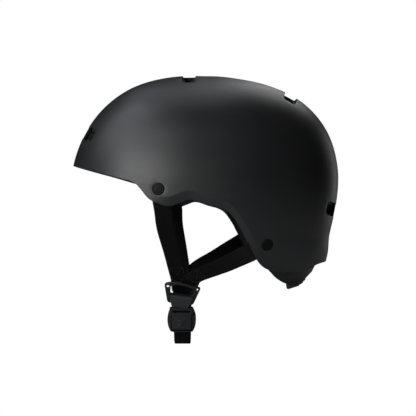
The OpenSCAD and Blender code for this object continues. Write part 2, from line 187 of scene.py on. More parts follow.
def skin_frame(turn, up):
    """Matrix in millimetres: +Z points out of the shell there and +X runs across the helmet."""
    d = 0.5
    p, a, b = (at(t, u, reach(t, u)) for t, u in ((turn, up), (turn + d, up), (turn, up + d)))
    out = Vector(np.cross(a - p, b - p)).normalized()
    level = (Vector((0, 1, 0)) - out * out.y).normalized()
    m = Matrix((level, out.cross(level), out)).transposed().to_4x4()
    m.translation = Vector(p)
    return m


# Vent slots and strap cap seats: where they are on the shell and the size of each outline
VENTS = [(199.1, 23.4, 46), (237, 72.7, 54), (337.8, 46.1, 61), (341.2, -9.1, 48)]
VENTS += [(360 - t, u, w) for t, u, w in VENTS]
VENT_H, VENT_R = 14, 3.5
CUT_EDGE = 0.45            # width of the bevel on the edges of the vents and seats
CAPS = [(246.8, -1.3), (300, -26.2), (360 - 246.8, -1.3), (360 - 300, -26.2)]
CAP_D = 11
SEAT_D = CAP_D + 0.6


# ---------- mesh helpers ----------

def edited(mesh, weld=0, outwards=False, drop_loose=False):
    """Welds close points, turns the faces outwards or drops points without a face."""
    bm = bmesh.new()
    bm.from_mesh(mesh)
    if weld:
        bmesh.ops.remove_doubles(bm, verts=bm.verts, dist=weld)
    if outwards:
        bmesh.ops.recalc_face_normals(bm, faces=bm.faces)
    if drop_loose:
        loose = [v for v in bm.verts if not v.link_faces]
        bmesh.ops.delete(bm, geom=loose, context="VERTS")
    bm.to_mesh(mesh)
    bm.free()


def linked(name, data):
    obj = bpy.data.objects.new(name, data)
    bpy.context.scene.collection.objects.link(obj)
    return obj


def all_smooth(obj, smooth=True):
    obj.data.polygons.foreach_set("use_smooth", [smooth] * len(obj.data.polygons))


def new_object(name, points, faces, smooth=True):
    """A mesh object from points in millimetres."""
    mesh = bpy.data.meshes.new(name)
    mesh.from_pydata((np.asarray(points, float) * MM).tolist(), [], faces)
    mesh.validate()
    obj = linked(name, mesh)
    edited(mesh, outwards=True)
    all_smooth(obj, smooth)
    return obj


def tube(rings, n):
    """Faces that join rings of n points each, numbered ring by ring."""
    return [(i * n + j, i * n + (j + 1) % n, (i + 1) * n + (j + 1) % n, (i + 1) * n + j)
            for i in range(rings - 1) for j in range(n)]


def store_weave(obj, places):
    """Keeps each point's place on the webbing, in metres, for the weave's pattern."""
    layer = obj.data.attributes.new("weave", "FLOAT_VECTOR", "POINT")
    layer.data.foreach_set("vector", (np.array(places, float) * MM).ravel())


def activate(obj):
    bpy.ops.object.select_all(action="DESELECT")
    obj.select_set(True)
    bpy.context.view_layer.objects.active = obj


def crease_above(obj, angle):
    """Smooth shading that keeps edges sharper than an angle in degrees."""
    activate(obj)
    bpy.ops.object.shade_smooth_by_angle(angle=math.radians(angle))


def apply_all(obj):
    activate(obj)
    for modifier in list(obj.modifiers):
        bpy.ops.object.modifier_apply(modifier=modifier.name)


def joined(name, objects):
    activate(objects[0])
    for o in objects:
        o.select_set(True)
    bpy.ops.object.join()
    objects[0].name = name
    objects[0].data.name = name
    return objects[0]


def mirrored(obj, name):
    """A copy of the mesh on the other side of the helmet."""
    mesh = obj.data.copy()
    mesh.name = name
    mesh.transform(Matrix.Scale(-1, 4, (0, 1, 0)))
    mesh.flip_normals()
    return linked(name, mesh)


def soften_edges(obj, width, segments=3, angle=35):
    bevel = obj.modifiers.new("edges", "BEVEL")
    bevel.width = width * MM
    bevel.segments = segments
    bevel.limit_method = "ANGLE"
    bevel.angle_limit = math.radians(angle)
    bevel.harden_normals = True
    apply_all(obj)
    all_smooth(obj)
    crease_above(obj, 40)


def lathe(name, profile, segments=48):
    """A turned piece about local +Z from (radius, height) points."""
    points, faces = [], []
    for k in range(segments):
        a = 2 * math.pi * k / segments
        points += [(r * math.cos(a), r * math.sin(a), z) for r, z in profile]
    n = len(profile)
    for k in range(segments):
        for i in range(n - 1):
            b = (k + 1) % segments
            faces.append((k * n + i, b * n + i, b * n + i + 1, k * n + i + 1))
    obj = new_object(name, points, faces)
    edited(obj.data, weld=1e-7)
    return obj


def plate(name, outline, thickness, holes=(), edge=0.5, lift=0):
    """A flat piece with rounded edges in its own XY plane, from lift up to lift + thickness."""
    curve = bpy.data.curves.new(name, "CURVE")
    curve.dimensions = "2D"
    curve.fill_mode = "BOTH"
    curve.extrude = (thickness / 2 - edge) * MM
    curve.bevel_depth = edge * MM
    curve.bevel_resolution = 3
    curve.offset = -edge * MM
    for loop in (outline, *holes):
        spline = curve.splines.new("POLY")
        spline.points.add(len(loop) - 1)
        for q, (x, y) in zip(spline.points, loop):
            q.co = (x * MM, y * MM, 0, 1)
        spline.use_cyclic_u = True
    shape = linked(name + "_curve", curve)
    mesh = bpy.data.meshes.new_from_object(shape)
    bpy.data.objects.remove(shape)
    mesh.transform(Matrix.Translation((0, 0, (lift + thickness / 2) * MM)))
    obj = linked(name, mesh)
    edited(mesh, weld=2e-6, outwards=True)
    crease_above(obj, 50)
    return obj


def rounded(points, r, n=6):
    """An outline whose corners start to bend r before each point."""
    result = []
    for i, p in enumerate(points):
        p = Vector(p)
        a = (Vector(points[i - 1]) - p).normalized()
        b = (Vector(points[(i + 1) % len(points)]) - p).normalized()
        for k in range(n + 1):
            s = k / n
            result.append(tuple((1 - s) ** 2 * (p + a * r) + 2 * s * (1 - s) * p
                                + s * s * (p + b * r)))
    return result


def circle(x, y, d, n=24):
    return [(x + d / 2 * math.cos(2 * math.pi * k / n), y + d / 2 * math.sin(2 * math.pi * k / n))
            for k in range(n)]


def bar(name, half, radius, y, z, segments=32):
    """A round bar along local X with softened ends."""
    e = min(0.35, radius * 0.4)
    profile = [(0, -half), (radius - e, -half), (radius - e * 0.3, -half + e * 0.3),
               (radius, -half + e), (radius, half - e), (radius - e * 0.3, half - e * 0.3),
               (radius - e, half), (0, half)]
    obj = lathe(name, profile, segments)
    obj.data.transform(Matrix.Translation((0, y * MM, z * MM))
                       @ Matrix.Rotation(math.radians(90), 4, "Y"))
    crease_above(obj, 40)
    return obj


def placed(obj, matrix):
    """Moves the mesh itself by a matrix in millimetres, so the object stays at the origin."""
    m = matrix.copy()
    m.translation = m.translation * MM
    obj.data.transform(m)
    return obj


# ---------- materials ----------

def set_inputs(node, **values):
    """Sets inputs of a node; an underline stands for a space in an input's name."""
    for name, value in values.items():
        node.inputs[name.replace("_", " ")].default_value = value


def add_node(tree, kind, **values):
    node = tree.nodes.new("ShaderNode" + kind)
    set_inputs(node, **values)
    return node


def node_tree(name):
    material = bpy.data.materials.new(name)
    material.use_nodes = True
    tree = material.node_tree
    tree.nodes.clear()
    out = add_node(tree, "OutputMaterial")
    shader = add_node(tree, "BsdfPrincipled")
    tree.links.new(shader.outputs[0], out.inputs[0])
    return material, tree, shader


def place_in(tree, attribute="", scale=(1, 1, 1)):
    """Object coordinates, or a stored point attribute, scaled."""
    if attribute:
        source = add_node(tree, "Attribute")
        source.attribute_name = attribute
        socket = source.outputs["Vector"]
    else:
        source = add_node(tree, "TexCoord")
        socket = source.outputs["Object"]
    mapping = add_node(tree, "Mapping", Scale=scale)
    tree.links.new(socket, mapping.inputs["Vector"])
    return mapping.outputs["Vector"]


def noise(tree, where, scale, detail=3, rough=0.55):
    node = add_node(tree, "TexNoise", Scale=scale, Detail=detail, Roughness=rough)
    tree.links.new(where, node.inputs["Vector"])
    return node.outputs["Fac"]


def remap(tree, value, low, high, to_low, to_high):
    node = add_node(tree, "MapRange", From_Min=low, From_Max=high, To_Min=to_low, To_Max=to_high)
    tree.links.new(value, node.inputs["Value"])
    return node.outputs["Result"]


def maths(tree, kind, a, b):
    node = add_node(tree, "Math")
    node.operation = kind
    for socket, v in zip(node.inputs, (a, b)):
        if isinstance(v, (int, float)):
            socket.default_value = v
        else:
            tree.links.new(v, socket)
    return node.outputs[0]


def weighted(tree, a, share_a, b, share_b):
    """Sum of two values, each times its share."""
    return maths(tree, "ADD", maths(tree, "MULTIPLY", a, share_a),
                 maths(tree, "MULTIPLY", b, share_b))


def tint(tree, fac, dark, light):
    node = add_node(tree, "ValToRGB")
    node.color_ramp.elements[0].color = (*dark, 1)
    node.color_ramp.elements[1].color = (*light, 1)
    node.color_ramp.elements[0].position = 0.25
    node.color_ramp.elements[1].position = 0.75
    tree.links.new(fac, node.inputs["Fac"])
    return node.outputs["Color"]


def bump(tree, shader, height, strength, distance, before=None):
    node = add_node(tree, "Bump", Strength=strength, Distance=distance * MM)
    tree.links.new(height, node.inputs["Height"])
    if before:
        tree.links.new(before, node.inputs["Normal"])
    tree.links.new(node.outputs["Normal"], shader.inputs["Normal"])
    return node.outputs["Normal"]


def moulded(name, dark, light, rough=(0.4, 0.5), grain=1600, depth=0.05, specular=0.5):
    """Moulded plastic: fine grain, faint cloudy colour and uneven gloss."""
    material, tree, shader = node_tree(name)
    where = place_in(tree)
    cloud = noise(tree, where, 22, 4)
    fine = noise(tree, where, grain, 2)
    tree.links.new(tint(tree, cloud, dark, light), shader.inputs["Base Color"])
    wear = weighted(tree, noise(tree, where, 90, 5), 0.7, fine, 0.3)
    tree.links.new(remap(tree, wear, 0.3, 0.7, *rough), shader.inputs["Roughness"])
    set_inputs(shader, Specular_IOR_Level=specular)
    bump(tree, shader, fine, 0.35, depth)
    return material


def shell_finish():
    """Soft-touch matte shell: charcoal with tiny pearl flecks and handling marks."""
    material, tree, shader = node_tree("shell_matte_charcoal")
    where = place_in(tree)
    cloud = noise(tree, where, 14, 4)
    fleck = noise(tree, where, 2600, 1)
    base = tint(tree, weighted(tree, cloud, 0.6, fleck, 0.4),
                (0.0105, 0.0107, 0.0115), (0.0165, 0.0168, 0.0182))
    tree.links.new(base, shader.inputs["Base Color"])
    streak = noise(tree, place_in(tree, scale=(1, 1, 5)), 60, 6, 0.65)
    tree.links.new(remap(tree, streak, 0.3, 0.75, 0.40, 0.48), shader.inputs["Roughness"])
    set_inputs(shader, Specular_IOR_Level=0.55, Coat_Weight=0.12, Coat_Roughness=0.35)
    orange_peel = noise(tree, where, 420, 3)
    first = bump(tree, shader, orange_peel, 0.18, 0.04)
    bump(tree, shader, fleck, 0.22, 0.02, first)
    return material


def foam_finish():
    """Moulded bead foam: rounded beads with darker seams."""
    material, tree, shader = node_tree("liner_bead_foam")
    where = place_in(tree)
    cells = add_node(tree, "TexVoronoi", Scale=330)
    tree.links.new(where, cells.inputs["Vector"])
    bead = maths(tree, "SUBTRACT", 1.0, cells.outputs["Distance"])
    mottle = noise(tree, where, 60, 3)
    shade = weighted(tree, mottle, 0.5, bead, 0.5)
    tree.links.new(tint(tree, shade, (0.008, 0.008, 0.009), (0.026, 0.026, 0.028)),
                   shader.inputs["Base Color"])
    set_inputs(shader, Roughness=0.72, Specular_IOR_Level=0.3)
    first = bump(tree, shader, bead, 0.5, 0.35)
    bump(tree, shader, noise(tree, where, 1500, 3), 0.25, 0.06, first)
    return material


def weave_finish(name, dark, light, pitch, sheen=0.25, rough=0.75):
    """Woven yarns running along and across; the weave attribute holds place in metres."""
    material, tree, shader = node_tree(name)
    where = place_in(tree, "weave")
    split = add_node(tree, "SeparateXYZ")
    tree.links.new(where, split.inputs[0])
    turns = 2 * math.pi / (pitch * MM)
    across = maths(tree, "MULTIPLY", split.outputs[0], turns)
    length = maths(tree, "MULTIPLY", split.outputs[1], turns)
    # Twill: the crests step sideways from row to row
    rib = maths(tree, "ABSOLUTE", maths(tree, "SINE", maths(tree, "MULTIPLY", across, 0.5), 0), 0)
    cross = maths(tree, "ABSOLUTE", maths(
        tree, "SINE", maths(tree, "ADD", maths(tree, "MULTIPLY", length, 0.5),
                            maths(tree, "MULTIPLY", across, 0.5)), 0), 0)
    yarn = maths(tree, "MULTIPLY", rib, cross)
    fuzz = noise(tree, where, 2400, 3)
    worn = noise(tree, where, 130, 4)
    shade = weighted(tree, yarn, 0.55, maths(tree, "ADD", fuzz, worn), 0.28)
    tree.links.new(tint(tree, shade, dark, light), shader.inputs["Base Color"])
    tree.links.new(remap(tree, worn, 0.3, 0.7, rough - 0.08, rough + 0.08),
                   shader.inputs["Roughness"])
    set_inputs(shader, Sheen_Weight=sheen, Sheen_Roughness=0.4, Specular_IOR_Level=0.16)
    first = bump(tree, shader, yarn, 0.8, 0.22)
    bump(tree, shader, fuzz, 0.4, 0.05, first)
    return material


def knit_finish():
    """Brushed knit of the comfort pads."""
    material, tree, shader = node_tree("pad_knit")
    where = place_in(tree)
    cells = add_node(tree, "TexVoronoi", Scale=900)
    tree.links.new(where, cells.inputs["Vector"])
    loop = maths(tree, "SUBTRACT", 1.0, cells.outputs["Distance"])
    fuzz = noise(tree, where, 1800, 4)
    soft = noise(tree, where, 45, 3)
    shade = weighted(tree, loop, 0.45, maths(tree, "ADD", fuzz, soft), 0.3)
    tree.links.new(tint(tree, shade, (0.006, 0.006, 0.007), (0.022, 0.022, 0.024)),
                   shader.inputs["Base Color"])
    set_inputs(shader, Roughness=0.88, Sheen_Weight=0.35, Sheen_Roughness=0.5)
    first = bump(tree, shader, loop, 0.6, 0.25)
    bump(tree, shader, fuzz, 0.5, 0.08, first)
    return material


def steel_finish():
    material, tree, shader = node_tree("satin_steel")
    where = place_in(tree, scale=(1, 40, 1))
    lines = noise(tree, where, 900, 3)
    tree.links.new(tint(tree, lines, (0.42, 0.42, 0.43), (0.62, 0.62, 0.63)),
                   shader.inputs["Base Color"])
    tree.links.new(remap(tree, lines, 0.3, 0.7, 0.24, 0.38), shader.inputs["Roughness"])
    set_inputs(shader, Metallic=1.0)
    bump(tree, shader, lines, 0.25, 0.02)
    return material


SHELL = shell_finish()
FOAM = foam_finish()
WEB = weave_finish("webbing_black", (0.001, 0.001, 0.0011), (0.0045, 0.0045, 0.0048), 1.5, 0.02)
THREAD = weave_finish("thread_black", (0.008, 0.008, 0.009), (0.03, 0.03, 0.032), 0.35)
KNIT = knit_finish()
CAP = moulded("cap_rubber", (0.001, 0.001, 0.001), (0.002, 0.002, 0.002), (0.5, 0.6), 1300, 0.05,
              0.2)
BUCKLE = moulded("buckle_nylon", (0.012, 0.012, 0.013), (0.022, 0.022, 0.024), (0.36, 0.46), 1500,
                 0.06)
LEVER = moulded("lever_nylon", (0.028, 0.029, 0.031), (0.042, 0.043, 0.046), (0.36, 0.46), 1500,
                0.06)
CRADLE = moulded("cradle_plastic", (0.007, 0.007, 0.008), (0.012, 0.012, 0.013), (0.34, 0.44),
                 1400, 0.05)
STEEL = steel_finish()


def finish_piece(obj, material, body=None, replaces=()):
    """Gives a piece its material and its CAD body, and hides the nodes it replaces."""
    obj.data.materials.clear()
    obj.data.materials.append(material)
    if replaces:
        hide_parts(*replaces)
    if body:
        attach(obj, body)


# ---------- shell and liner ----------

def slot_distance(a, b, flat_a, flat_b, radius):
    """Distance outside a rounded rectangle and the direction of its growth, in its plane."""
    over_a, over_b = np.abs(a) - flat_a, np.abs(b) - flat_b
    ka, kb = np.clip(over_a, 0, None), np.clip(over_b, 0, None)
    size = np.hypot(ka, kb)
    corner = size > 1e-9
    wide = over_a > over_b
    ga = np.where(corner, ka / np.maximum(size, 1e-9), wide) * np.sign(a)
    gb = np.where(corner, kb / np.maximum(size, 1e-9), ~wide) * np.sign(b)
    return np.where(corner, size, np.maximum(over_a, over_b)) - radius, ga, gb


def moved(points, matrix):
    m = np.array(matrix)
    return points @ m[:3, :3].T + m[:3, 3]


def bowl(name, cols, rows, lift, outer_inset, inner_inset, cuts, lip):
    """Closed bowl between two insets of the skin, cut through at each slot of cuts.

    A cut is its frame, the slot's size and how far round it whole faces are taken away.
    """
    turn = np.arange(cols) * 360 / cols
    rim = rim_angle(turn)
    band = np.array([0, 0.1, 0.24, 0.42, 0.6, 0.78, 0.92, 1.0, 1.08])
    share = np.linspace(0, 1, rows + 1)[1:-1]
    low = rim + lift(turn)
    base = low[None] + BEVEL_ANGLE * band[:, None]
    top = base[-1][None] + (90 - base[-1][None]) * share[:, None]
    up = np.concatenate([base, top])
    n_rows = len(up)
    grid_turn = np.broadcast_to(turn, up.shape)
    grid_rim = np.broadcast_to(rim, up.shape)

    def snap_to(points, inset_rule, m, size, chosen):
        """Puts the chosen points on the slot's outline and back on their layer."""
        for _ in range(4):
            local = moved(points[chosen], m.inverted())
            d, ga, gb = slot_distance(local[:, 0], local[:, 1], *size)
            local[:, 0] -= d * ga
            local[:, 1] -= d * gb
            world = moved(local, m) - (0, 0, CROWN_CENTRE)
            t = np.degrees(np.arctan2(world[:, 1], world[:, 0])) % 360
            u = np.degrees(np.arctan2(world[:, 2], np.hypot(world[:, 0], world[:, 1])))
            points[chosen] = skin(t, u, rim_angle(t), inset_rule(t, u))

    outer = skin(grid_turn, up, grid_rim, outer_inset(grid_turn, up)).reshape(-1, 3)
    inner = skin(grid_turn, up, grid_rim, inner_inset(grid_turn, up)).reshape(-1, 3)
    index = np.arange(n_rows * cols).reshape(n_rows, cols)
    right = np.roll(index, -1, axis=1)
    quads = np.stack([index[:-1], right[:-1], right[1:], index[1:]], -1).reshape(-1, 4)
    keep = np.ones(len(quads), bool)
    for m, size, margin in cuts:
        local = moved(outer, m.inverted())
        d, _, _ = slot_distance(local[:, 0], local[:, 1], *size)
        inside = (d < margin) & (np.abs(local[:, 2]) < 30)
        gone = inside[quads].any(1) & keep
        border = np.intersect1d(quads[gone].ravel(), quads[~gone & keep].ravel())
        keep &= ~gone
        snap_to(outer, outer_inset, m, size, border)
        snap_to(inner, inner_inset, m, size, border)
    # Rounded lip between the two layers at the rim
    lip_rows = 7
    half = (outer[:cols] + inner[:cols]) / 2
    arm = (outer[:cols] - inner[:cols]) / 2
    thick = np.linalg.norm(arm, axis=1)[:, None]
    ring = []
    for k in range(1, lip_rows):
        a = math.pi * k / lip_rows
        ring.append(half + arm * math.cos(a) - np.array([0, 0, 1]) * thick * lip * math.sin(a))
    n = len(outer)
    points = np.concatenate([outer, inner, *ring,
                             at(0, 90, CROWN - outer_inset(0, 90))[None],
                             at(0, 90, CROWN - inner_inset(0, 90))[None]])
    faces = [tuple(q) for q in quads[keep]]
    faces += [tuple(q[::-1] + n) for q in quads[keep]]
    loops = [np.arange(cols)] + [2 * n + k * cols + np.arange(cols) for k in range(lip_rows - 1)]
    loops.append(n + np.arange(cols))
    for a, b in zip(loops[:-1], loops[1:]):
        faces += [(a[j], b[j], b[(j + 1) % cols], a[(j + 1) % cols]) for j in range(cols)]
    last = index[-1]
    for top_point, layer in ((len(points) - 2, last), (len(points) - 1, last + n)):
        faces += [(layer[j], layer[(j + 1) % cols], top_point) for j in range(cols)]
    # Walls of the holes: each free edge of the outer layer joins its twin in the inner layer
    use = {}
    for q in quads[keep]:
        for a, b in zip(q, np.roll(q, -1)):
            key = (min(a, b), max(a, b))
            use[key] = use.get(key, 0) + 1
    rim_edges = {(min(a, b), max(a, b)) for a, b in zip(range(cols), np.roll(range(cols), -1))}
    crown = set(last.tolist())
    walls = [e for e, count in use.items()
             if count == 1 and e not in rim_edges and not (e[0] in crown and e[1] in crown)]
    faces += [(a, b, b + n, a + n) for a, b in walls]
    obj = new_object(name, points, [tuple(int(i) for i in f) for f in faces])
    # Small radius on the cut edges
    weights = obj.data.attributes.new("bevel_weight_edge", "FLOAT", "EDGE")
    sharp = {(a, b) for a, b in walls} | {(a + n, b + n) for a, b in walls}
    values = [1.0 if (min(e.vertices), max(e.vertices)) in sharp else 0.0 for e in obj.data.edges]
    weights.data.foreach_set("value", values)
    bevel = obj.modifiers.new("cut_edges", "BEVEL")
    bevel.limit_method = "WEIGHT"
    bevel.width = CUT_EDGE * MM
    bevel.segments = 3
    bevel.use_clamp_overlap = True
    apply_all(obj)
    edited(obj.data, drop_loose=True)
    all_smooth(obj)
    crease_above(obj, 32)
    return obj


def deeper(depth, more):
    """Inset that grows by more towards the front and the nape."""
    def rule(turn, up):
        return depth + more * np.cos(np.radians(turn)) ** 2 * np.cos(np.radians(up))
    return rule


def vent_cuts(shrink, margin):
    return [(skin_frame(t, u), (w / 2 - shrink - VENT_R, (VENT_H - shrink) / 2 - VENT_R, VENT_R),
             margin) for t, u, w in VENTS]


def edge_lift(turn):
    """How far the liner's edge stands above the shell's rim: more at the nape."""
    return 1.6 + 6 * (1 - step(40, 62, np.minimum(turn, 360 - turn)))


def make_shell():
    seats = [(skin_frame(t, u), (0, 0, SEAT_D / 2), 0.9) for t, u in CAPS]
    shell = bowl("outer_shell_body", 480, 132, lambda turn: 0, deeper(0, 0), deeper(SHELL_T, 0),
                 vent_cuts(0, 0.9) + seats, 0.35)
    finish_piece(shell, SHELL, "helmet", ("outer_shell",))


def make_liner():
    start = SHELL_T + LAYER_GAP
    liner = bowl("impact_liner_body", 240, 70, edge_lift, deeper(start, NAPE_GAP),
                 deeper(start + LINER_T, LINER_EXTRA), vent_cuts(4, 1.2), 0.3)
    finish_piece(liner, FOAM, "helmet", ("impact_liner",))


make_shell()
make_liner()


# ---------- comfort pads ----------

PAD_VOXEL = 2.2


def swollen(obj, pressure=4.0, cap=2.5):
    """Blows a closed mesh up a little as cloth, each point held within cap of its start."""
    remesh = obj.modifiers.new("remesh", "REMESH")
    remesh.mode = "VOXEL"
    remesh.voxel_size = PAD_VOXEL * MM
    apply_all(obj)
    start = np.empty(len(obj.data.vertices) * 3)
    obj.data.vertices.foreach_get("co", start)
    cloth = obj.modifiers.new("cloth", "CLOTH")
    cloth.settings.quality = 5
    cloth.settings.use_pressure = True
    cloth.settings.uniform_pressure_force = pressure
    cloth.settings.effector_weights.gravity = 0
    cloth.collision_settings.use_collision = False
    scene = bpy.context.scene
    for number in range(1, 21):
        scene.frame_set(number)
    graph = bpy.context.evaluated_depsgraph_get()
    after = np.empty_like(start)
    obj.evaluated_get(graph).data.vertices.foreach_get("co", after)
    obj.modifiers.remove(cloth)
    scene.frame_set(1)
    move = (after - start).reshape(-1, 3)
    size = np.linalg.norm(move, axis=1)[:, None]
    move *= np.minimum(1, cap * MM / np.maximum(size, 1e-9))
    obj.data.vertices.foreach_set("co", (start.reshape(-1, 3) + move).ravel())
    subdivide = obj.modifiers.new("smooth", "SUBSURF")
    subdivide.levels = subdivide.render_levels = 1
    apply_all(obj)
    all_smooth(obj)
    return obj


def slab(name, outer, inner):
    """Closed solid between two grids of points."""
    rows, cols = outer.shape[:2]
    index = np.arange(rows * cols).reshape(rows, cols)
    quads = np.stack([index[:-1, :-1], index[:-1, 1:], index[1:, 1:], index[1:, :-1]],
                     -1).reshape(-1, 4)
    n = rows * cols
    rim = np.concatenate([index[0], index[1:, -1], index[-1, -2::-1], index[-2:0:-1, 0]])
    faces = [tuple(q) for q in quads] + [tuple(q[::-1] + n) for q in quads]
    faces += [(a, b, b + n, a + n) for a, b in zip(rim, np.roll(rim, -1))]
    points = np.concatenate([outer.reshape(-1, 3), inner.reshape(-1, 3)])
    return new_object(name, points, [tuple(int(i) for i in f) for f in faces])


def pad_patch(name, turn0, turn1, low, high, cols, rows):
    """Pad on the liner's inner face: drawn in from its CAD solid, so it can swell."""
    turn = np.linspace(turn0, turn1, cols) % 360
    up = np.linspace(low, high, rows)[:, None] + 0 * turn[None]
    grid_turn = np.broadcast_to(turn, up.shape)
    grid_rim = np.broadcast_to(rim_angle(turn), up.shape)
    hug = deeper(SHELL_T + LAYER_GAP + LINER_T, LINER_EXTRA)(grid_turn, up) + PAD_GAP
    return slab(name, skin(grid_turn, up, grid_rim, hug + 0.7),
                skin(grid_turn, up, grid_rim, hug + PAD_T - 1.6))


def channelled(obj, lines, depth=1.1, width=1.6):
    """Sewn channels: points near each plane (point, normal) sink towards the liner."""
    co = np.empty(len(obj.data.vertices) * 3)
    obj.data.vertices.foreach_get("co", co)
    co = co.reshape(-1, 3) / MM
    outward = unit(co - (0, 0, CROWN_CENTRE))
    sink = np.zeros(len(co))
    for point, normal in lines:
        d = np.abs((co - point) @ np.array(normal, float))
        sink = np.maximum(sink, depth * np.exp(-(d / width) ** 2))
    obj.data.vertices.foreach_set("co", ((co + outward * sink[:, None]) * MM).ravel())


def upright(*angles):
    """Planes through the crown centre that stand upright, at angles from straight ahead."""
    return [((0, 0, CROWN_CENTRE), (math.sin(math.radians(a)), math.cos(math.radians(a)), 0))
            for a in angles]


def make_pads():
    brow = swollen(pad_patch("brow_pad_body", 147, 213, 14.4, 20.1, 46, 8))
    channelled(brow, upright(-16, 0, 16))
    side = swollen(pad_patch("side_pad_left_body", 251, 291, 14.8, 37.2, 30, 22))
    lean = math.radians(2)
    channelled(side, [((0, 0, CROWN_CENTRE), (math.cos(lean), 0, math.sin(lean)))])
    other = mirrored(side, "side_pad_right_body")
    rear = swollen(pad_patch("rear_pad_body", -33, 33, -3.4, 15.4, 46, 16))
    channelled(rear, upright(-12, 12))
    crown = swollen(pad_patch("crown_pad_body", -60.5, 60.5, 56.6, 81.4, 46, 16))
    channelled(crown, upright(-22, 22))
    for pad, node in ((brow, "brow_pad"), (side, "side_pad_left"), (other, "side_pad_right"),
                      (rear, "rear_pad"), (crown, "crown_pad")):
        finish_piece(pad, KNIT, "helmet", (node,))


make_pads()


# ---------- neck cradle and pad ----------

NECK_MID_X, NECK_HALF_LENGTH, NECK_HALF_WIDTH = 42, 80, 68
CRADLE_T = 2.4
# Heights of the lower edges, at angles from the middle of the nape
CRADLE_LOW = [(-20, -70), (0, -68), (20, -70), (40, -77), (55, -78), (67, -71.5), (76, -62)]
PAD_LOW = [(-15, -75), (0, -73), (15, -75), (27, -79.3), (45, -83.8), (54, -84.6)]


def neck_grid(reach_angle, top, low, grow, rows, cols, trim=0):
    """Band behind the nape between a level top and a lower edge, drawn in towards the bottom."""
    a = np.linspace(-reach_angle, reach_angle, cols)[None] + np.zeros((rows, 1))
    z0 = along(low, np.abs(a)) + trim
    z = z0 + (top - z0) * np.linspace(0, 1, rows)[:, None]
    lean = 1 - 0.11 * step(-50, -76, z)
    return np.stack([NECK_MID_X + (NECK_HALF_LENGTH + grow) * lean * np.cos(np.radians(a)),
                     (NECK_HALF_WIDTH + grow) * lean * np.sin(np.radians(a)), z], -1)


def make_neck():
    cradle = slab("neck_cradle_body", *(neck_grid(76, -42, CRADLE_LOW, grow, 22, 90)
                                        for grow in (0, -CRADLE_T)))
    soften_edges(cradle, 0.8, 4, 60)
    finish_piece(cradle, CRADLE, "helmet", ("neck_cradle",))
    pad = slab("neck_pad_body", *(neck_grid(53.4, -44.6, PAD_LOW, grow, 16, 60, 0.8)
                                  for grow in (-3.4, -9.6)))
    swollen(pad, cap=2)
    finish_piece(pad, KNIT, "helmet", ("neck_pad",))


make_neck()


# ---------- webbing ----------

WEB_W, WEB_T = 17.5, 1.8


def smooth_path(points, spacing):
    """Points every few millimetres on a smooth curve through the given ones, with its slopes."""
    p = np.array(points, float)
    slope = np.gradient(p, axis=0)
    out, way = [], []
    for i in range(len(p) - 1):
        n = max(2, int(np.linalg.norm(p[i + 1] - p[i]) / spacing))
        for t in np.arange(n) / n:
            out.append(hermite(t, p[i], slope[i], p[i + 1], slope[i + 1]))
            way.append(i + t)
    out.append(p[-1])
    way.append(len(p) - 1)
    return np.array(out), np.array(way)


def ribbon(name, route, faces, width=WEB_W, thick=WEB_T, spacing=1.6, sag=0.0):
    """Flat webbing with rounded edges along a route, facing the given directions."""
    path, way = smooth_path(route, spacing)
    out = np.stack([np.interp(way, np.arange(len(faces)), np.array(faces, float)[:, k])
                    for k in range(3)], -1)
    tangent = unit(np.gradient(path, axis=0))
    side = unit(np.cross(out, tangent))
    out = np.cross(tangent, side)
    along_path = np.concatenate([[0], np.cumsum(np.linalg.norm(np.diff(path, axis=0), axis=1))])
    # Section: flats with a few points and round edges
    section = []
    r = thick / 2
    flat = width / 2 - r
    for s in (1, -1):
        section += [(u, s * r) for u in np.linspace(-s * flat, s * flat, 9)]
        turns = [s * math.pi / 2 - math.pi * k / 6 for k in range(1, 6)]
        section += [(s * flat + r * math.cos(a), r * math.sin(a)) for a in turns]
    section = np.array(section)
    m = len(section)
    points, weave = [], []
    for i in range(len(path)):
        wave = sag * math.sin(along_path[i] / 7) * 0.5
        for u, v in section:
            bow = -0.25 * (1 - (2 * u / width) ** 2) * sag
            points.append(path[i] + side[i] * u + out[i] * (v + wave + bow))
            weave.append((u, along_path[i], v))
    rings = len(path)
    faces_out = tube(rings, m)
    # Ends close with a slightly smaller ring
    for i, sign in ((0, -1), (rings - 1, 1)):
        start = len(points)
        for u, v in section:
            points.append(path[i] + tangent[i] * sign * 0.5 + side[i] * u * 0.97 + out[i] * v * 0.5)
            weave.append((u, along_path[i], v))
        base = i * m
        faces_out += [(base + j, base + (j + 1) % m, start + (j + 1) % m, start + j)
                      for j in range(m)]
        faces_out.append(tuple(range(start, start + m)))
    obj = new_object(name, points, faces_out)
    store_weave(obj, weave)
    return obj, path, side, out, along_path


